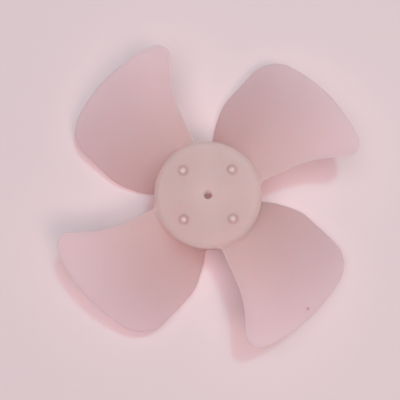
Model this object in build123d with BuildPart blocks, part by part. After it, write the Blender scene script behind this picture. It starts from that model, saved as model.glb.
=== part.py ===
from build123d import *
from math import atan2, cos, hypot, pi, radians, sin, sqrt, tan
import os

# A small axial fan impeller, moulded in one piece from a natural, milky plastic.
# Four broad, twisted blades stand on a cup-shaped hub with a closed front face.
# +Z is the fan axis and points out of the closed front face. The open rim of the
# hub lies on Z = 0, with the origin on the axis.

# Driving dimensions of the fan, in millimetres and degrees
fan_diameter = 114.3
blade_count = 4
first_blade_angle = 45

# Hub: a cup with a drafted wall, a rounded front edge and an open back
hub_diameter = 38.1  # side wall at the front face, before the edge is rounded
hub_height = 25.4
hub_draft = 1.5
hub_edge_radius = 1.9
hub_wall = 1.9
hub_face_thickness = 2.2
hub_inner_chamfer = 1.2

# Boss for the motor shaft, and the ribs that carry it inside the cup
shaft_diameter = 3.175
boss_diameter = 8.6
boss_draft = 1.0
boss_setback = 4.0  # from the open rim to the end of the boss
rib_count = 4
rib_thickness = 1.2
rib_setback = 14.0  # from the open rim to the ribs' free edges
rib_overlap = 1.0  # how far each rib runs into the boss and into the wall

# Gate marks: a shallow dish with a small nib where the plastic flowed in
gate_circle_radius = 12.3
gate_diameter = 4.0
gate_depth = 0.5
gate_nib_diameter = 1.5
gate_nib_tip_diameter = 0.8
gate_nib_height = 0.4

# Blade: a cambered screw surface. A turn is measured about the fan axis from the
# blade's middle line, in radians, and is positive towards the trailing edge.
blade_middle_height = 15.6
blade_lead_at_root = 102.0  # advance of the screw in one full turn
blade_lead_at_tip = 127.0
blade_camber = 5.4  # extra fall towards both edges, at a turn of one radian
blade_root_thickness = 2.0
blade_tip_thickness = 1.4
blade_edge_chamfer = 0.4
root_chamfer = 0.8  # eases the corner between a blade and the hub

# Sizes worked out from the ones above
tip_radius = fan_diameter / 2
hub_radius = hub_diameter / 2
rim_radius = hub_radius + hub_height * tan(radians(hub_draft))
cup_top = hub_height - hub_face_thickness
cup_top_radius = hub_radius - hub_wall
boss_radius = boss_diameter / 2
root_radius = hub_radius - hub_wall / 2  # the blades start inside the hub's wall


def on_circle(radius, angle):
    """The point at this radius and angle about the fan axis."""
    return (radius * cos(radians(angle)), radius * sin(radians(angle)))


# Outline of one blade, seen along the axis, with its middle line along +X. The swept
# leading edge is concave, and the trailing edge runs parallel to the middle line.
leading_root = on_circle(root_radius, -32.5)
leading_points = [(24.6, -13.4), (31.3, -16.2), (38.0, -20.6)]
leading_tip = on_circle(tip_radius, -32.5)
trailing_tip = on_circle(tip_radius, 21.3)
trailing_heel = (32.0, trailing_tip[1])  # here the edge starts to bend to the hub
trailing_shoulder = (23.9, 18.3)
trailing_root = on_circle(root_radius, 38.5)
trailing_root_direction = (-0.6, -0.8)
leading_corner_radius = 5.0
trailing_corner_radius = 11.0

# The blade is lofted through flat sections that stand across its middle line
section_reaches = [14.0, 25.0, 36.0, 48.0, 60.0]
section_crossings = [-36.0, -20.0, -4.0, 12.0, 28.0]


def blade_section_point(reach, across, side):
    """A point of the section at this reach. Side is 1 on the front, -1 on the back."""
    radius = hypot(reach, across)
    turn = atan2(across, reach)
    outward = (radius - hub_radius) / (tip_radius - hub_radius)
    lead = blade_lead_at_root + (blade_lead_at_tip - blade_lead_at_root) * outward
    middle = blade_middle_height - lead * turn / (2 * pi) - blade_camber * turn**2
    slope = (lead / (2 * pi) + 2 * blade_camber * turn) * reach / radius**2
    thickness = blade_root_thickness + (blade_tip_thickness - blade_root_thickness) * outward
    return (across, middle + side * thickness / 2 * sqrt(1 + slope**2))


def distance_from_axis(shape):
    """How far the middle of an edge or a face lies from the fan axis."""
    return hypot(shape.center().X, shape.center().Y)


# One blade: lofted between its sections, trimmed to its outline, edges eased
with BuildPart() as blade:
    for reach in section_reaches:
        with BuildSketch(Plane(origin=(reach, 0, 0), x_dir=(0, 1, 0), z_dir=(1, 0, 0))):
            with BuildLine():
                front = Spline([blade_section_point(reach, across, 1) for across in section_crossings])
                back = Spline([blade_section_point(reach, across, -1) for across in section_crossings])
                Line(front @ 0, back @ 0)
                Line(front @ 1, back @ 1)
            make_face()
    loft()
    with BuildSketch(Plane.XY.offset(-hub_height)) as outline:
        with BuildLine():
            Spline([leading_root, *leading_points, leading_tip])
            ThreePointArc(leading_tip, (tip_radius, 0), trailing_tip)
            Line(trailing_tip, trailing_heel)
            Spline(
                [trailing_heel, trailing_shoulder, trailing_root],
                tangents=[(-1, 0), trailing_root_direction],
            )
            ThreePointArc(trailing_root, (root_radius, 0), leading_root)
        make_face()
        fillet(outline.vertices().sort_by_distance(leading_tip)[0], leading_corner_radius)
        fillet(outline.vertices().sort_by_distance(trailing_tip)[0], trailing_corner_radius)
    extrude(amount=3 * hub_height, mode=Mode.INTERSECT)
    broad_faces = blade.faces().sort_by(SortBy.AREA)[-2:]
    rim_edges = broad_faces.edges().filter_by(lambda edge: distance_from_axis(edge) > rim_radius)
    chamfer(rim_edges, blade_edge_chamfer)

# The impeller: hub cup, boss and ribs, then the blades and the small features
with BuildPart() as impeller:
    with BuildSketch(Plane.XZ):
        with BuildLine():
            Polyline(
                (0, hub_height),
                (hub_radius, hub_height),
                (rim_radius, 0),
                (rim_radius - hub_wall, 0),
                (cup_top_radius, cup_top),
                (0, cup_top),
                close=True,
            )
        make_face()
    revolve(axis=Axis.Z)
    circles = impeller.edges().filter_by(GeomType.CIRCLE).group_by(Axis.Z)
    front_corner, cup_corner = circles[-1], circles[-2]
    fillet(front_corner, hub_edge_radius)
    chamfer(cup_corner, hub_inner_chamfer)

    # Boss and ribs, standing on the inside of the front face
    with BuildSketch(Plane.XY.offset(cup_top)):
        Circle(boss_radius)
    extrude(amount=boss_setback - cup_top, taper=boss_draft)
    with BuildSketch(Plane.XY.offset(cup_top)):
        with PolarLocations((boss_radius + cup_top_radius) / 2, rib_count):
            Rectangle(cup_top_radius - boss_radius + 2 * rib_overlap, rib_thickness)
    extrude(amount=rib_setback - cup_top)

    # Blades, blended into the wall of the hub
    with PolarLocations(0, blade_count, start_angle=first_blade_angle):
        add(blade.part)
    blade_roots = (
        impeller.edges()
        .filter_by(GeomType.BSPLINE)
        .filter_by(lambda edge: edge.length > hub_height and distance_from_axis(edge) < rim_radius)
    )
    chamfer(blade_roots, root_chamfer)

    # Gate marks on the front face: a dish cut by a ball, with a nib in its middle
    ball_radius = (gate_diameter**2 / 4 + gate_depth**2) / (2 * gate_depth)
    with Locations(Plane.XY.offset(hub_height - gate_depth)):
        with PolarLocations(gate_circle_radius, blade_count, start_angle=first_blade_angle):
            with Locations((0, 0, ball_radius)):
                Sphere(ball_radius, mode=Mode.SUBTRACT)
            Cone(
                gate_nib_diameter / 2,
                gate_nib_tip_diameter / 2,
                gate_nib_height,
                align=(Align.CENTER, Align.CENTER, Align.MIN),
            )

    # Bore for the shaft, through the boss and the front face
    with Locations(Plane.XY.offset(hub_height)):
        Hole(shaft_diameter / 2)

impeller.part.label = "impeller"
os.makedirs("parts", exist_ok=True)
export_step(impeller.part, "parts/impeller.step")
print("volume in cubic millimetres:", round(impeller.part.volume))
print("solids:", len(impeller.solids()), "valid:", impeller.part.is_valid)
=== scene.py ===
# %% [markdown]
# # A milky plastic fan impeller
# This lesson dresses one moulded part: a small axial fan impeller, laid on its open side on
# a pale table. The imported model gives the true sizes. Blender gives a finer surface, the
# plastic, the light and the camera. Everything is in metres, with the fan axis on Z and the
# hub's open rim on Z = 0.

# %% Load the frame
import bpy
import math
import numpy as np
from mathutils import Matrix, Vector


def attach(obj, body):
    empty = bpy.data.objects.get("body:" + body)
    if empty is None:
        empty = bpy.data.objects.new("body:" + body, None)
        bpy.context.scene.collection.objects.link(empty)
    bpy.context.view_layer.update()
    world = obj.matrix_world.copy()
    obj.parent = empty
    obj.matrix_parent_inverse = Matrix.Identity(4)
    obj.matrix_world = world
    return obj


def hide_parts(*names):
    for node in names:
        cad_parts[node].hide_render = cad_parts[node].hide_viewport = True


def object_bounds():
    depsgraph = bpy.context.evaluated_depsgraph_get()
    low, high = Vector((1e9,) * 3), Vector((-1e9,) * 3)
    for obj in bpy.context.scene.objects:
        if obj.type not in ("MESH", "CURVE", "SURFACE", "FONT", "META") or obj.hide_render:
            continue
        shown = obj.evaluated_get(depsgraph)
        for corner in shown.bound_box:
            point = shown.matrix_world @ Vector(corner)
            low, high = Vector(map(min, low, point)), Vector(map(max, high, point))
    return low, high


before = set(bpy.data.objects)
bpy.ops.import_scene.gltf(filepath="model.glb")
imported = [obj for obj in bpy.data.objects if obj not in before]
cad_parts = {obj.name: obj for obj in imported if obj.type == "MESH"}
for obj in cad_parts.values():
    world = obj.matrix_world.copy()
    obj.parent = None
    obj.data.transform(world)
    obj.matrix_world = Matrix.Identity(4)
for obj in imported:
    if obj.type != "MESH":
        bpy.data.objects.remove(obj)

MM = 0.001
cad_low, cad_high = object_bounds()
print("packed model, mm:", [round(size / MM, 1) for size in (cad_high - cad_low)])

# %% [markdown]
# ## Sizes
# The impeller is a moulding, so a few sizes drive all of it: the diameter, the hub and the
# screw surface that the blades follow. They are kept here in millimetres, in the same words
# as a drawing would use. The hub's height is taken from the imported model's top.

# %% Driving sizes in millimetres
fan_radius = 57.15
blade_count = 4
first_blade_angle = math.radians(45)

hub_height = cad_high.z / MM
hub_radius = 19.05
hub_draft = math.tan(math.radians(1.5))
hub_edge = 1.9
hub_wall = 1.9
face_thickness = 2.2
cup_corner = 1.2
bore_radius = 1.5875
boss_radius = 4.3
boss_draft = math.tan(math.radians(1.0))
boss_end = 4.0
rib_end = 14.0
rib_thickness = 1.2

rim_radius = hub_radius + hub_height * hub_draft
cup_top = hub_height - face_thickness
print("hub height", round(hub_height, 2), "and radius at the rim", round(rim_radius, 2))

# %% [markdown]
# ## Camera
# The fan is seen from almost straight above, a little from its front. A long lens of 72 mm
# keeps the blades' proportions calm. The camera stands where its place says, looks at a point
# near the axis, and is rolled by a degree. It is made early, so that every trial render
# already has the right view.

# %% Place the camera
camera_place = Vector((4.49, -17.08, 307.3)) * MM
camera_aim = Vector((-3.46, -0.55, 0.0)) * MM
camera_roll = math.radians(0.88)
camera_lens = 72.0

camera_data = bpy.data.cameras.new("camera")
camera_data.lens = camera_lens
camera_data.sensor_width = 36.0
camera_data.clip_start = 0.01
camera = bpy.data.objects.new("camera", camera_data)
bpy.context.scene.collection.objects.link(camera)
bpy.context.scene.camera = camera

forward = (camera_aim - camera_place).normalized()
level_right = (Vector((1, 0, 0)) - forward * forward.x).normalized()
level_up = level_right.cross(forward)
right = level_right * math.cos(camera_roll) - level_up * math.sin(camera_roll)
up = right.cross(forward)
turn_matrix = Matrix((right, up, -forward)).transposed()
camera.matrix_world = Matrix.Translation(camera_place) @ turn_matrix.to_4x4()
print("camera looks along", [round(part, 3) for part in forward])

# %% [markdown]
# ## The screw surface
# Every blade follows the same cambered screw. As a point turns about the axis towards the
# trailing edge it falls, by one lead in a full turn, and the lead grows from the hub to the
# tip. A camber term bends both edges down a little more. One function gives the height of
# the middle surface and how steeply it falls across the blade. It works on whole arrays at
# once, which keeps the mesh code short and quick.

# %% Height and steepness of a blade
blade_middle_height = 15.6
lead_at_root = 102.0
lead_at_tip = 127.0
blade_camber = 5.4
root_thickness = 2.0
tip_thickness = 1.4


def blade_surface(u, v):
    """Height and vertical half thickness at u outwards and v towards the trailing edge."""
    radius = np.hypot(u, v)
    turn = np.arctan2(v, u)
    outward = (radius - hub_radius) / (fan_radius - hub_radius)
    rise = (lead_at_root + (lead_at_tip - lead_at_root) * outward) / (2 * math.pi)
    height = blade_middle_height - rise * turn - blade_camber * turn**2
    slope = (rise + 2 * blade_camber * turn) * u / radius**2
    thickness = root_thickness + (tip_thickness - root_thickness) * outward
    return height, thickness / 2 * np.sqrt(1 + slope**2)


print("height at mid span:", blade_surface(np.array([38.0]), np.array([0.0]))[0].round(2))

# %% [markdown]
# ## Smooth curves from few points
# The swept edges are drawn with only the points that their shape needs. A cubic spline
# through them has no kinks in its curvature, so light runs along the edge without a break.
# The small solver below sets one equation for each point. An end may be given a direction,
# or is left free to run out straight.

# %% A spline through points


def smooth_curve(points, start_direction=None, end_direction=None, count=200):
    """Points along a cubic spline that passes through the given ones."""
    points = np.array(points, float)
    spans = np.hypot(*np.diff(points, axis=0).T)
    knots = np.concatenate([[0], np.cumsum(spans)])
    last = len(points) - 1
    system = np.zeros((last + 1, last + 1))
    wanted = np.zeros((last + 1, 2))
    for index in range(1, last):
        before, after = spans[index - 1], spans[index]
        system[index, index - 1 : index + 2] = (after, 2 * (before + after), before)
        rise = (points[index] - points[index - 1]) / before * after
        wanted[index] = 3 * (rise + (points[index + 1] - points[index]) / after * before)
    for index, step, direction in ((0, 1, start_direction), (last, -1, end_direction)):
        if direction is None:
            system[index, index], system[index, index + step] = 2, 1
            ahead = points[index + step] - points[index]
            wanted[index] = 3 * ahead / (knots[index + step] - knots[index])
        else:
            system[index, index] = 1
            wanted[index] = np.array(direction) / np.hypot(*direction)
    slopes = np.linalg.solve(system, wanted)
    places = np.linspace(0, knots[-1], count)
    index = np.clip(np.searchsorted(knots, places, side="right") - 1, 0, last - 1)
    span = spans[index][:, None]
    t = (places - knots[index])[:, None] / span
    return (
        points[index] * (2 * t**3 - 3 * t**2 + 1)
        + slopes[index] * span * (t**3 - 2 * t**2 + t)
        + points[index + 1] * (3 * t**2 - 2 * t**3)
        + slopes[index + 1] * span * (t**3 - t**2)
    )


def on_circle(radius, angles):
    """Points on a circle about the fan axis, with angles in radians."""
    angles = np.asarray(angles, float)
    return np.stack([radius * np.cos(angles), radius * np.sin(angles)], axis=-1)


def arc_about(centre, start, end, count=40):
    """The shorter arc about a centre, from one point to another."""
    start, end = np.array(start) - centre, np.array(end) - centre
    first = math.atan2(start[1], start[0])
    sweep = math.remainder(math.atan2(end[1], end[0]) - first, 2 * math.pi)
    return centre + on_circle(np.hypot(*start), first + np.linspace(0, sweep, count))


def resample(curve, shares):
    """Points at the given shares of a curve's length."""
    lengths = np.concatenate([[0], np.cumsum(np.hypot(*np.diff(curve, axis=0).T))])
    places = np.asarray(shares) * lengths[-1]
    return np.stack([np.interp(places, lengths, curve[:, axis]) for axis in (0, 1)], axis=1)


# %% [markdown]
# ## The blade's outline
# Seen along the axis, the blade has a concave leading edge that sweeps forward to a small
# round corner, a tip that runs on the fan's circle, a large round corner, and a trailing
# edge that runs straight and then bends in to the hub. Each round corner is an arc that
# touches both of its neighbours, so its centre lies one corner radius inside both.

# %% Draw the outline
root_radius = hub_radius - hub_wall / 2
leading_corner = 5.0
trailing_corner = 11.0
root_turn, tip_turn = math.radians(-32.5), math.radians(21.3)
leading_tip = on_circle(fan_radius, root_turn)
trailing_tip = on_circle(fan_radius, tip_turn)
trailing_root = on_circle(root_radius, math.radians(38.5))
trailing_heel = (32.0, trailing_tip[1])
trailing_shoulder = (23.9, 18.3)

leading_edge = smooth_curve(
    [on_circle(root_radius, root_turn), (24.6, -13.4), (31.3, -16.2), (38.0, -20.6), leading_tip]
)
along = np.gradient(leading_edge, axis=0)
inward = np.stack([-along[:, 1], along[:, 0]], axis=1) / np.hypot(*along.T)[:, None]
centres = leading_edge + inward * leading_corner
touch = int(np.argmin(np.abs(np.hypot(*centres.T) - (fan_radius - leading_corner))))
leading_centre = centres[touch]
leading_arc = arc_about(
    leading_centre,
    leading_edge[touch],
    leading_centre * fan_radius / np.hypot(*leading_centre),
)

centre_v = trailing_tip[1] - trailing_corner
centre_u = math.sqrt((fan_radius - trailing_corner) ** 2 - centre_v**2)
trailing_centre = np.array([centre_u, centre_v])
trailing_arc = arc_about(
    trailing_centre,
    trailing_centre * fan_radius / np.hypot(*trailing_centre),
    (centre_u, trailing_tip[1]),
)
tip_arc = arc_about(np.zeros(2), leading_arc[-1], trailing_arc[0], 120)
trailing_curve = smooth_curve(
    [trailing_heel, trailing_shoulder, trailing_root], (-1, 0), (-0.6, -0.8)
)

half = len(leading_arc) // 2
leading_side = np.vstack([leading_edge[:touch], leading_arc[:half]])
tip_side = np.vstack([leading_arc[half - 1 :], tip_arc[1:-1], trailing_arc[: half + 1]])
trailing_side = np.vstack([trailing_arc[half:], trailing_curve])[::-1]
print("leading, tip and trailing sides have", len(leading_side), len(tip_side), len(trailing_side))

# %% [markdown]
# ## The root fillet
# In a mould, a sharp inner corner would crack, so the blades flow into the hub through a
# fillet. The mesh makes it by flaring the blade: the nearer a point is to the hub's surface,
# the more it is pushed outwards, along a quarter circle. The hub's own rounded front edge is
# part of that distance, so that the flare fades there as it should.

# %% Distance to the hub, and the flare
fillet_radius = 1.5


def distance_to_hub(radius, height):
    """How far a point lies outside the hub's wall or its rounded front edge."""
    edge_height = hub_height - hub_edge
    wall = radius - (hub_radius + (hub_height - height) * hub_draft)
    edge = np.hypot(radius - (hub_radius - hub_edge), np.maximum(height - edge_height, 0))
    return np.where(height > edge_height, edge - hub_edge, wall)


def flare(distance):
    """How much the fillet adds at this distance from the hub."""
    inside = np.clip(fillet_radius - distance, 0, fillet_radius)
    return fillet_radius - np.sqrt(fillet_radius**2 - inside**2)


def face_flare(radius, height, side):
    """How much the fillet thickens a face, measured where the thickened face ends up."""
    grown = np.zeros_like(radius)
    for _ in range(12):
        there = flare(distance_to_hub(radius, height + side * grown))
        grown = (grown + there) / 2
    return grown


print("flare at 0, 0.5 and 1.5 mm:", flare(np.array([0, 0.5, 1.5])).round(2))

# %% [markdown]
# ## A blade as two sheets and a rounded rim
# A blade is wide and thin, so a grid of four-sided faces suits it: it shades evenly and
# bends without creases. The outline is walked once to make a loop. Rings inside that loop
# make the rounded rim, and a grid stretched between its four sides makes the broad face.
# The same plan, lifted to the upper and the lower face, closes the blade.

# %% Walk the outline and stretch a grid
rim_round = 0.45
dense_count = 1500
rim_steps = 4
side_count = 54
end_count = 46
root_steps = 12
root_share = 0.085  # the share of an edge's length that the fillet's close steps cover


def side_shares():
    """Shares along an edge, close together where the fillet is."""
    near = np.linspace(0, root_share, root_steps + 1)
    return np.concatenate([near, np.linspace(root_share, 1, side_count - root_steps + 1)[1:]])


def blade_ring(turn_up):
    """One ring of the rim. turn_up runs from 0 on the rim's wall to a quarter turn on the face."""
    rows = []
    for side, shares in (
        (leading_side, side_shares()),
        (tip_side, np.linspace(0, 1, end_count + 1)),
        (trailing_side[::-1], 1 - side_shares()[::-1]),
    ):
        dense_shares = np.linspace(0, 1, dense_count)
        dense = resample(side, dense_shares)
        along = np.gradient(dense, axis=0)
        outward = np.stack([along[:, 1], -along[:, 0]], axis=1) / np.hypot(*along.T)[:, None]
        points = resample(dense, shares)
        normals = [np.interp(shares, dense_shares, outward[:, axis]) for axis in (0, 1)]
        height, _ = blade_surface(*points.T)
        grown = flare(distance_to_hub(np.hypot(*points.T), height)) * math.cos(turn_up)
        inset = rim_round * (1 - math.cos(turn_up))
        rows.append(points + np.stack(normals, axis=1) * (grown - inset)[:, None])
    leading, tip, trailing = rows
    sweep = np.linspace(0, 1, end_count + 1)[:-1, None]
    root = trailing[-1] + (leading[0] - trailing[-1]) * sweep
    middle = np.sin(math.pi * sweep) * (root_radius - np.hypot(*root.T))[:, None]
    root = root * (1 + middle / np.hypot(*root.T)[:, None])
    return np.vstack([leading[:-1], tip[:-1], trailing[:-1], root])


def stretch_grid(loop):
    """A grid between the four sides of a loop, by blending opposite sides."""
    corners = (0, side_count, side_count + end_count, 2 * side_count + end_count)
    leading = loop[corners[0] : corners[1] + 1]
    tip = loop[corners[1] : corners[2] + 1]
    trailing = loop[corners[2] : corners[3] + 1][::-1]
    root = np.vstack([loop[corners[3] :], loop[:1]])[::-1]
    s = side_shares()[:, None, None]
    t = np.linspace(0, 1, end_count + 1)[None, :, None]
    edges = (1 - t) * leading[:, None] + t * trailing[:, None]
    ends = (1 - s) * root[None] + s * tip[None]
    twist = (1 - s) * ((1 - t) * leading[0] + t * trailing[0])
    twist = twist + s * ((1 - t) * leading[-1] + t * trailing[-1])
    return edges + ends - twist


print("points in one ring:", len(blade_ring(0)))

# %% [markdown]
# The next cell lifts the plan onto the screw surface. The side is 1 for the face towards the
# front of the fan and -1 for the one behind. The fillet adds thickness near the hub, and
# nothing is let below the rim's plane, because the part has to rest on its hub.

# %% Lift the plan to one blade mesh
rest_height = 0.05


def lift(plan, side, turn_up):
    """Puts plan points on one face: side is 1 in front and -1 behind."""
    u, v = plan[..., 0], plan[..., 1]
    height, half_thickness = blade_surface(u, v)
    grown = face_flare(np.hypot(u, v), height + side * half_thickness, side)
    swell = half_thickness - rim_round + (rim_round + grown) * math.sin(turn_up)
    z = np.maximum(height + side * swell, rest_height)
    return np.stack([u, v, z], axis=-1).reshape(-1, 3)


def blade_mesh():
    """Vertices and faces of one closed blade, with its middle line on +X."""
    quarter = math.pi / 2
    count = 2 * (side_count + end_count)
    rings, faces = [], []
    for side in (1, -1):
        for step in range(rim_steps):
            turn_up = quarter * step / rim_steps
            rings.append(lift(blade_ring(turn_up), side, turn_up))
    plan = stretch_grid(blade_ring(quarter))
    top, bottom = lift(plan, 1, quarter), lift(plan, -1, quarter)
    verts = np.vstack(rings + [top, bottom])
    grid_start = {1: 2 * rim_steps * count, -1: 2 * rim_steps * count + len(top)}
    columns = end_count + 1

    def grid_index(row, column):
        return row * columns + column

    edge = [grid_index(row, 0) for row in range(side_count)]
    edge += [grid_index(side_count, column) for column in range(end_count)]
    edge += [grid_index(row, end_count) for row in range(side_count, 0, -1)]
    edge += [grid_index(0, column) for column in range(end_count, 0, -1)]

    def ring_index(side, step, place):
        if step == rim_steps:
            return grid_start[side] + edge[place % count]
        return (step + (0 if side == 1 else rim_steps)) * count + place % count

    for place in range(count):
        faces.append(
            (
                ring_index(-1, 0, place),
                ring_index(-1, 0, place + 1),
                ring_index(1, 0, place + 1),
                ring_index(1, 0, place),
            )
        )
        for step in range(rim_steps):
            faces.append(
                (
                    ring_index(1, step, place),
                    ring_index(1, step, place + 1),
                    ring_index(1, step + 1, place + 1),
                    ring_index(1, step + 1, place),
                )
            )
            faces.append(
                (
                    ring_index(-1, step, place),
                    ring_index(-1, step + 1, place),
                    ring_index(-1, step + 1, place + 1),
                    ring_index(-1, step, place + 1),
                )
            )
    for row in range(side_count):
        for column in range(end_count):
            quad = [
                grid_index(row, column),
                grid_index(row + 1, column),
                grid_index(row + 1, column + 1),
                grid_index(row, column + 1),
            ]
            faces.append([grid_start[1] + corner for corner in quad])
            faces.append([grid_start[-1] + corner for corner in reversed(quad)])
    return verts, faces


blade_verts, blade_faces = blade_mesh()
print("one blade has", len(blade_faces), "faces and lowest point", blade_verts[:, 2].min().round(2))

# %% [markdown]
# ## The hub as one turned profile
# The hub is round, so it is turned: a closed profile of radius and height is spun about the
# axis. The profile runs from the bore across the front face, over the rounded edge, down
# the drafted wall, round the open rim, up inside the cup, along its floor and round the
# boss. The front face has many close rings, because the gate marks are pressed into it next.

# %% Draw the hub's profile
small_round = 0.3
boss_fillet = 0.8
face_rings = 64
hub_segments = 320


def corner_arc(centre, radius, start_degrees, end_degrees, steps):
    """Profile points on a quarter circle or less, as (radius, height) pairs."""
    angles = np.radians(np.linspace(start_degrees, end_degrees, steps + 1))
    return [(centre[0] + radius * math.cos(a), centre[1] + radius * math.sin(a)) for a in angles]


def straight(start, end, steps):
    """Profile points between two others, without the ends."""
    shares = np.linspace(0, 1, steps + 1)[1:-1]
    return [tuple(np.array(start) + (np.array(end) - start) * share) for share in shares]


def hub_profile():
    """The closed profile, walked from the bore's front mouth outwards."""
    flat_radius = hub_radius - hub_edge
    mouth = (bore_radius + small_round, hub_height)
    points = [mouth] + straight(mouth, (flat_radius, hub_height), face_rings)
    points += corner_arc((flat_radius, hub_height - hub_edge), hub_edge, 90, 0, 10)
    outer = (rim_radius - small_round, small_round)
    points += straight(points[-1], (rim_radius, small_round), 14)
    points += corner_arc(outer, small_round, 0, -90, 3)
    inner_rim = rim_radius - hub_wall
    inner = (inner_rim + small_round, small_round)
    points += corner_arc(inner, small_round, -90, -180, 3)
    cup_radius = hub_radius - hub_wall
    centre = (cup_radius - cup_corner, cup_top - cup_corner)
    points += straight(points[-1], (cup_radius, centre[1]), 8)
    points += corner_arc(centre, cup_corner, 0, 90, 6)
    boss_top = (boss_radius + boss_fillet, cup_top - boss_fillet)
    points += straight(points[-1], (boss_top[0], cup_top), 6)
    points += corner_arc(boss_top, boss_fillet, 90, 180, 5)
    boss_foot = boss_radius - (cup_top - boss_end) * boss_draft
    foot = (boss_foot - small_round, boss_end + small_round)
    points += straight(points[-1], (boss_foot, foot[1]), 8)
    points += corner_arc(foot, small_round, 0, -90, 3)
    end = (bore_radius + small_round, boss_end)
    points += straight(points[-1], end, 3) + [end, (bore_radius, boss_end + small_round)]
    points += straight(points[-1], (bore_radius, hub_height - small_round), 8)
    points.append((bore_radius, hub_height - small_round))
    return np.array(points)


profile = hub_profile()
print("profile points:", len(profile))

# %% [markdown]
# ## Gate marks
# The plastic flowed in through small gates in the front face, one in line with each blade.
# Each left a shallow round dish with a nib where the sprue broke off. A dish is less than a
# millimetre deep, so it is pressed into the face's own vertices: the height of a point drops
# by the shape of a ball, and rises again at the nib.

# %% Press the gate marks into the face
gate_circle = 12.3
gate_radius = 2.0
gate_depth = 0.7
nib_radius = 1.1
nib_height = 0.6
ball_radius = (gate_radius**2 + gate_depth**2) / (2 * gate_depth)
turn_between_blades = 2 * math.pi / blade_count


def smooth_step(low, high, value):
    """0 below low, 1 above high, and a soft change between."""
    share = np.clip((value - low) / (high - low), 0, 1)
    return share * share * (3 - 2 * share)


def gate_mark(x, y):
    """How far the front face is sunk at this place."""
    angle = np.arctan2(y, x) - first_blade_angle
    angle = angle - turn_between_blades * np.round(angle / turn_between_blades)
    radius = np.hypot(x, y)
    from_gate = np.hypot(radius * np.cos(angle) - gate_circle, radius * np.sin(angle))
    within = np.minimum(from_gate, gate_radius)
    dish = np.sqrt(ball_radius**2 - within**2) - (ball_radius - gate_depth)
    nib = nib_height * (1 - smooth_step(nib_radius * 0.5, nib_radius, from_gate))
    return dish - nib


def hub_mesh(profile):
    """Vertices and faces of the turned hub, with its gate marks."""
    angles = np.linspace(0, 2 * math.pi, hub_segments, endpoint=False)
    x = profile[:, 0][:, None] * np.cos(angles)
    y = profile[:, 0][:, None] * np.sin(angles)
    z = np.repeat(profile[:, 1][:, None], hub_segments, axis=1)
    on_face = z > hub_height - 1e-6
    z = np.where(on_face, z - gate_mark(x, y), z)
    rows = len(profile)
    faces = []
    for row in range(rows):
        below = (row + 1) % rows
        for column in range(hub_segments):
            beside = (column + 1) % hub_segments
            faces.append(
                (
                    row * hub_segments + column,
                    below * hub_segments + column,
                    below * hub_segments + beside,
                    row * hub_segments + beside,
                )
            )
    return np.stack([x, y, z], axis=-1).reshape(-1, 3), faces


hub_verts, hub_faces = hub_mesh(profile)
print("the hub has", len(hub_faces), "faces")

# %% [markdown]
# ## From arrays to objects
# One helper turns an array in millimetres into a mesh object in metres. The four blades are
# the same blade turned about the axis, and the ribs inside the cup are slim bars with their
# free edges eased by a bevel. They are joined into one object, because they don't touch each
# other, and that object is then united with the hub in a single boolean.

# %% Make the objects
import bmesh


def make_object(name, verts, faces):
    """A smooth shaded mesh object from vertices in millimetres."""
    mesh = bpy.data.meshes.new(name)
    mesh.from_pydata((np.asarray(verts) * MM).tolist(), [], [list(face) for face in faces])
    mesh.validate()
    editable = bmesh.new()
    editable.from_mesh(mesh)
    bmesh.ops.recalc_face_normals(editable, faces=editable.faces)
    editable.to_mesh(mesh)
    editable.free()
    mesh.shade_smooth()
    made = bpy.data.objects.new(name, mesh)
    bpy.context.scene.collection.objects.link(made)
    return made


def turned(verts, angle):
    """The vertices turned about the fan axis."""
    cos, sin = math.cos(angle), math.sin(angle)
    return np.asarray(verts) @ np.array([[cos, sin, 0], [-sin, cos, 0], [0, 0, 1]])


def rib_mesh():
    """One rib of the cup as a bar from the boss to the wall, with eased free edges."""
    ease = 0.25
    inner, outer = boss_radius - 0.8, hub_radius - hub_wall + 0.6
    low, high, half_width = rib_end, cup_top + 0.8, rib_thickness / 2
    section = [
        (-half_width, high),
        (-half_width, low + ease),
        (-half_width + ease, low),
        (half_width - ease, low),
        (half_width, low + ease),
        (half_width, high),
    ]
    verts = [(reach, y, z) for reach in (inner, outer) for y, z in section]
    count = len(section)
    faces = [list(range(count)), list(range(count, 2 * count))[::-1]]
    for place in range(count):
        following = (place + 1) % count
        faces.append((place, place + count, following + count, following))
    return verts, faces


added_verts, added_faces = [], []
rib_verts, rib_faces = rib_mesh()
for index in range(blade_count):
    quarter = index * turn_between_blades
    parts = ((blade_verts, blade_faces, first_blade_angle), (rib_verts, rib_faces, 0.0))
    for verts, faces, angle in parts:
        offset = sum(len(group) for group in added_verts)
        added_verts.append(turned(verts, angle + quarter))
        added_faces += [[corner + offset for corner in face] for face in faces]
impeller = make_object("moulded_impeller", hub_verts, hub_faces)
blades = make_object("blades_and_ribs", np.vstack(added_verts), added_faces)

# %% [markdown]
# ## One skin
# Milky plastic lets light travel inside it. If the blades only overlapped the hub, the hidden
# walls between them would show as dark seams, so the pieces must share one skin. An exact
# boolean union cuts away what is inside, and a check counts the open edges that are left.

# %% Unite the blades with the hub
union = impeller.modifiers.new("union", "BOOLEAN")
union.operation = "UNION"
union.solver = "EXACT"
union.object = blades
united = bpy.data.meshes.new_from_object(
    impeller.evaluated_get(bpy.context.evaluated_depsgraph_get())
)
impeller.modifiers.clear()
impeller.data = united
bpy.data.objects.remove(blades)

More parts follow.
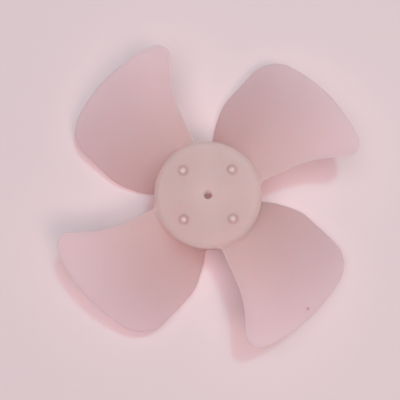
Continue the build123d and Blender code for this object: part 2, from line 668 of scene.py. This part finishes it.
skin = bmesh.new()
skin.from_mesh(united)
bmesh.ops.remove_doubles(skin, verts=skin.verts, dist=0.004 * MM)
bmesh.ops.dissolve_degenerate(skin, edges=skin.edges, dist=0.002 * MM)
open_edges = sum(1 for edge in skin.edges if len(edge.link_faces) != 2)
triangles = sum(len(face.verts) - 2 for face in skin.faces)
volume = round(skin.calc_volume() / MM**3)
print("open edges:", open_edges, "triangles:", triangles, "volume mm3:", volume)
skin.to_mesh(united)
skin.free()
united.shade_smooth()

# %% [markdown]
# ## Milky plastic
# The real material is an undyed plastic: whitish, with a soft sheen, and cloudy inside. Part
# of the light that meets it scatters just below the skin and comes back, and part goes right
# through and comes out soft. A Principled shader with subsurface scattering does the first,
# and a Translucent shader does the second. The second one also lets lamps light the inside
# of the cup, and it makes the shadows on the table pale and pink.

# %% Helpers for materials


def new_material(name):
    """A material with an empty tree, its output and its main shader."""
    material = bpy.data.materials.new(name)
    material.use_nodes = True
    tree = material.node_tree
    tree.nodes.clear()
    output = tree.nodes.new("ShaderNodeOutputMaterial")
    shader = tree.nodes.new("ShaderNodeBsdfPrincipled")
    tree.links.new(shader.outputs["BSDF"], output.inputs["Surface"])
    return material, tree, shader


def add_node(tree, kind, settings=None, inputs=None):
    """A node with its settings and its unlinked inputs filled in."""
    node = tree.nodes.new(kind)
    for name, value in (settings or {}).items():
        setattr(node, name, value)
    for name, value in (inputs or {}).items():
        node.inputs[name].default_value = value
    return node


def add_mix(tree, factor, first, second, kind="RGBA"):
    """Mixes two colours, or two numbers where the kind is FLOAT. Returns the output socket."""
    node = add_node(tree, "ShaderNodeMix", {"data_type": kind})
    for name, value in (("Factor", factor), ("A", first), ("B", second)):
        socket = next(each for each in node.inputs if each.name == name and each.enabled)
        if isinstance(value, bpy.types.NodeSocket):
            tree.links.new(value, socket)
        elif name != "Factor" and kind == "RGBA":
            socket.default_value = (*value, 1)
        else:
            socket.default_value = value
    return next(each for each in node.outputs if each.enabled)


def add_shader_mix(tree, factor, first, second):
    """Mixes two shaders by a factor socket. Returns the output socket."""
    node = add_node(tree, "ShaderNodeMixShader")
    for index, socket in enumerate((factor, first, second)):
        tree.links.new(socket, node.inputs[index])
    return node.outputs["Shader"]


def add_range(tree, value, start, end, low=0.0, high=1.0):
    """Maps a value from start and end to low and high, and holds it there."""
    node = add_node(
        tree,
        "ShaderNodeMapRange",
        inputs={"From Min": start, "From Max": end, "To Min": low, "To Max": high},
    )
    tree.links.new(value, node.inputs["Value"])
    return node.outputs["Result"]


def add_distance(tree, place, point=(0, 0, 0)):
    """The distance of a place from a point, in metres. Returns the output socket."""
    node = add_node(tree, "ShaderNodeVectorMath", {"operation": "DISTANCE"})
    tree.links.new(place, node.inputs[0])
    node.inputs[1].default_value = point
    return node.outputs["Value"]


print("helpers for materials are ready")


# %% [markdown]
# The blades thin out towards their tips, and thin plastic takes less colour out of the light
# than thick. So the colours follow the distance from the fan axis, and later the share of
# light that goes through does too. The lighter, lilac tint of the tip colours is partly
# painted light: it stands in for the pink board's light showing through the thin tips. A
# fine noise clouds the plastic a little. Each of the two shaders has its own colour: the skin
# scatters light back, and the glow lets it through.

# %% Build the plastic
hub_colour = (0.955, 0.73, 0.74)
# The tip colours are lighter and more lilac: painted light for the pink board's light showing
# through the thin tips.
tip_colour_painted_light = (0.95, 0.79, 0.8)
hub_glow = (0.985, 0.835, 0.815)
tip_glow_painted_light = (1.0, 0.87, 0.91)

plastic, tree, shader = new_material("milky_plastic")
shader.inputs["Roughness"].default_value = 0.38
shader.inputs["IOR"].default_value = 1.49
shader.inputs["Subsurface Weight"].default_value = 1.0
shader.inputs["Subsurface Radius"].default_value = (1.0, 0.6, 0.55)
shader.inputs["Subsurface Scale"].default_value = 5.0 * MM

place = add_node(tree, "ShaderNodeTexCoord").outputs["Object"]
flat_place = add_node(tree, "ShaderNodeVectorMath", {"operation": "MULTIPLY"})
tree.links.new(place, flat_place.inputs[0])
flat_place.inputs[1].default_value = (1, 1, 0)
from_axis = add_distance(tree, flat_place.outputs["Vector"])
outwards = add_range(tree, from_axis, hub_radius * MM, fan_radius * MM)
skin_colour = add_mix(tree, outwards, hub_colour, tip_colour_painted_light)
glow_colour = add_mix(tree, outwards, hub_glow, tip_glow_painted_light)

cloud = add_node(tree, "ShaderNodeTexNoise", inputs={"Scale": 60.0, "Detail": 4.0})
tree.links.new(place, cloud.inputs["Vector"])
cloudiness = add_range(tree, cloud.outputs["Fac"], 0.35, 0.65, 0.0, 0.05)
skin_colour = add_mix(tree, cloudiness, skin_colour, (0.0, 0.0, 0.0))
print("nodes for the plain plastic:", len(tree.nodes))

# %% [markdown]
# The inside of the cup has the duller skin of the mould's core, and passes more light on. It
# is picked out by its place: nearer to the axis than the outside of the wall, and below the
# front face.

# %% Clear the inside of the cup
inside_glow = (1.0, 0.99, 0.98)
inside_radius = 18.3

height = add_node(tree, "ShaderNodeSeparateXYZ")
tree.links.new(place, height.inputs["Vector"])
below_face = add_range(tree, height.outputs["Z"], cup_top * MM, (cup_top + 0.3) * MM, 1.0, 0.0)
inside = add_range(tree, from_axis, inside_radius * MM, (inside_radius + 0.4) * MM, 1.0, 0.0)
inside = add_mix(tree, below_face, 0.0, inside, "FLOAT")
glow_colour = add_mix(tree, inside, glow_colour, inside_glow)
print("the inside reaches out to", inside_radius, "mm and up to", round(cup_top, 1), "mm")

# %% [markdown]
# The plastic turned white where a sprue was torn off, and the dish round each nib is a little
# The nibs are made a little lighter than the face. The dish round each nib is darkened with
# painted shade, for the shade in its hollow. The four gates lie symmetrically about the axes,
# so the absolute value of a place folds all four onto one, and a single distance is enough to
# colour them.

# %% Whiten the nibs and paint shade into the dishes
nib_colour = (1.0, 0.74, 0.75)
# Painted shade: this colour darkens the dish round each nib.
dish_painted_shade = (0.5, 0.3, 0.29)

gate_offset = gate_circle * math.sin(first_blade_angle) * MM
folded = add_node(tree, "ShaderNodeVectorMath", {"operation": "ABSOLUTE"})
tree.links.new(place, folded.inputs[0])
gate_place = (gate_offset, gate_offset, hub_height * MM)
from_gate = add_distance(tree, folded.outputs["Vector"], gate_place)
# The dish mask places the painted shade inside each gate's dish.
dish = add_range(tree, from_gate, gate_radius * 0.8 * MM, gate_radius * 1.2 * MM, 0.25, 0.0)
nib = add_range(tree, from_gate, nib_radius * 0.6 * MM, nib_radius * 1.2 * MM, 1.0, 0.0)
for mark, mark_colour in ((dish, dish_painted_shade), (nib, nib_colour)):
    skin_colour = add_mix(tree, mark, skin_colour, mark_colour)
    glow_colour = add_mix(tree, mark, glow_colour, mark_colour)
print("gates at, mm:", round(gate_offset / MM, 2), "from the X and Y axes")

# %% [markdown]
# One small speck of dirt was moulded into a blade. It is set down in the blade's own plan, and
# its height comes from the screw surface, so that it lies in the skin.

# %% Add the speck
speck_reach, speck_across = 54.0, -4.2
speck_radius = 0.85
speck_colour = (0.6, 0.3, 0.29)

speck_height = blade_surface(np.array([speck_reach]), np.array([speck_across]))
speck_local = [[speck_reach, speck_across, float(sum(speck_height)[0])]]
speck_place = turned(speck_local, first_blade_angle + 3 * turn_between_blades)[0] * MM
from_speck = add_distance(tree, place, speck_place)
speck = add_range(tree, from_speck, speck_radius * 0.3 * MM, speck_radius * MM, 0.6, 0.0)
skin_colour = add_mix(tree, speck, skin_colour, speck_colour)
glow_colour = add_mix(tree, speck, glow_colour, speck_colour)
print("speck at, mm:", [round(float(part) / MM, 1) for part in speck_place])

# %% [markdown]
# The last step joins the two shaders. The share is how much of the light goes through: it is
# a little larger at the tips, smaller in the whitened nibs and largest inside the cup. A
# faint grain in the skin breaks up the shine. The exact mesh then takes the place of the
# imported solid.

# %% Join the two shaders and dress the part
share_at_hub = 0.7
share_at_tip = 0.72
share_at_nib = 0.45
share_inside = 0.96

grain = add_node(tree, "ShaderNodeTexNoise", inputs={"Scale": 2600.0, "Detail": 2.0})
tree.links.new(place, grain.inputs["Vector"])
bump = add_node(tree, "ShaderNodeBump", inputs={"Strength": 0.12, "Distance": 0.02 * MM})
tree.links.new(grain.outputs["Fac"], bump.inputs["Height"])
tree.links.new(bump.outputs["Normal"], shader.inputs["Normal"])
tree.links.new(skin_colour, shader.inputs["Base Color"])

glow = add_node(tree, "ShaderNodeBsdfTranslucent")
tree.links.new(glow_colour, glow.inputs["Color"])
share = add_range(tree, outwards, 0.0, 1.0, share_at_hub, share_at_tip)
share = add_mix(tree, nib, share, share_at_nib, "FLOAT")
share = add_mix(tree, inside, share, share_inside, "FLOAT")
milk = add_shader_mix(tree, share, shader.outputs["BSDF"], glow.outputs["BSDF"])
tree.links.new(milk, tree.nodes["Material Output"].inputs["Surface"])

impeller.data.materials.clear()
impeller.data.materials.append(plastic)
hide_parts("impeller")
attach(impeller, "root")
print("nodes in the plastic:", len(tree.nodes))

# %% [markdown]
# ## The board
# The part lies on a plain, pale, slightly pink board. It is a plain that runs to the horizon,
# so that no edge shows from the side. Lamps can't light all of it evenly, so from a quarter
# of a metre outwards the board fades to the colour of the backdrop. Only the camera sees that
# fade, and the part gets no light from it. Near the part the board is a real surface, and
# catches the shadow.

# %% Make the board
board_colour = (0.75, 0.57, 0.6)
backdrop_colour = (0.7, 0.575, 0.6)
board_size = 40.0
fade_start, fade_end = 0.25, 0.9

corner = board_size / 2
board_mesh = bpy.data.meshes.new("board")
board_mesh.from_pydata(
    [(-corner, -corner, 0), (corner, -corner, 0), (corner, corner, 0), (-corner, corner, 0)],
    [],
    [(0, 1, 2, 3)],
)
board = bpy.data.objects.new("board", board_mesh)
bpy.context.scene.collection.objects.link(board)

board_finish, tree, shader = new_material("board")
shader.inputs["Base Color"].default_value = (*board_colour, 1)
shader.inputs["Roughness"].default_value = 0.7
board_place = add_node(tree, "ShaderNodeTexCoord").outputs["Object"]
fade = add_range(tree, add_distance(tree, board_place), fade_start, fade_end)
seen = add_node(tree, "ShaderNodeLightPath").outputs["Is Camera Ray"]
fade = add_mix(tree, seen, 0.0, fade, "FLOAT")
far_board = add_node(tree, "ShaderNodeEmission", inputs={"Color": (*backdrop_colour, 1)})
faded = add_shader_mix(tree, fade, shader.outputs["BSDF"], far_board.outputs["Emission"])
tree.links.new(faded, tree.nodes["Material Output"].inputs["Surface"])
board_mesh.materials.append(board_finish)
print("the board is", board_size, "m wide and fades from", fade_start, "to", fade_end, "m")

# %% [markdown]
# ## Lamps
# Most of the light is a broad soft lamp straight above. A small cool lamp on one side throws
# a crisp shadow, and a warm lamp on the other side throws a softer one. Where one of them is
# blocked, the other colours the shadow: pink on one side and bluish on the other. With the
# surround, their levels come to a little over one on the board, and a colour renders about as
# it is written.

# %% Set the lamps
fan_middle = Vector((0, 0, 12)) * MM


def add_lamp(name, azimuth, tilt, distance, size, level, colour):
    """A square soft lamp, tilted from the zenith. The level is what it adds on the board."""
    azimuth, tilt = math.radians(azimuth), math.radians(tilt)
    flat = math.sin(tilt)
    towards = Vector((flat * math.cos(azimuth), flat * math.sin(azimuth), math.cos(tilt)))
    data = bpy.data.lights.new(name, "AREA")
    data.size = size
    data.energy = level * (math.pi * distance) ** 2 / math.cos(tilt)
    data.color = colour
    lamp = bpy.data.objects.new(name, data)
    lamp.location = fan_middle + towards * distance
    lamp.rotation_euler = towards.to_track_quat("Z", "Y").to_euler()
    lamp.visible_camera = False
    bpy.context.scene.collection.objects.link(lamp)
    print(name, "has", round(data.energy, 2), "watts")


add_lamp("top_lamp", 0, 0, 1.6, 1.4, 0.74, (1.0, 0.96, 0.97))
add_lamp("cool_lamp", 55, 21, 1.6, 0.13, 0.17, (0.2, 1.0, 1.0))
add_lamp("warm_lamp", -42, 27, 1.6, 0.5, 0.17, (1.0, 0.7, 0.62))

# %% [markdown]
# ## Surround and backdrop
# A dim, even surround fills the shadows. What the camera and the glossy reflections see is
# a pale backdrop in the board's own colour. Rays that pass through the plastic keep the dim
# surround, because this plastic is cloudy: to it, a bright backdrop would be more light.

# %% Set the surround and the backdrop
surround_strength = 0.13

world = bpy.data.worlds.new("surround")
bpy.context.scene.world = world
world.use_nodes = True
tree = world.node_tree
surround = tree.nodes["Background"]
surround.inputs["Color"].default_value = (1.0, 0.98, 0.98, 1)
surround.inputs["Strength"].default_value = surround_strength
backdrop = add_node(tree, "ShaderNodeBackground", inputs={"Color": (*backdrop_colour, 1)})
rays = add_node(tree, "ShaderNodeLightPath").outputs
shown = add_node(tree, "ShaderNodeMath", {"operation": "ADD", "use_clamp": True})
tree.links.new(rays["Is Camera Ray"], shown.inputs[0])
tree.links.new(rays["Is Glossy Ray"], shown.inputs[1])
both = add_shader_mix(
    tree, shown.outputs["Value"], surround.outputs["Background"], backdrop.outputs["Background"]
)
tree.links.new(both, tree.nodes["World Output"].inputs["Surface"])
bpy.context.scene.view_settings.view_transform = "Standard"
print("surround strength:", surround_strength)
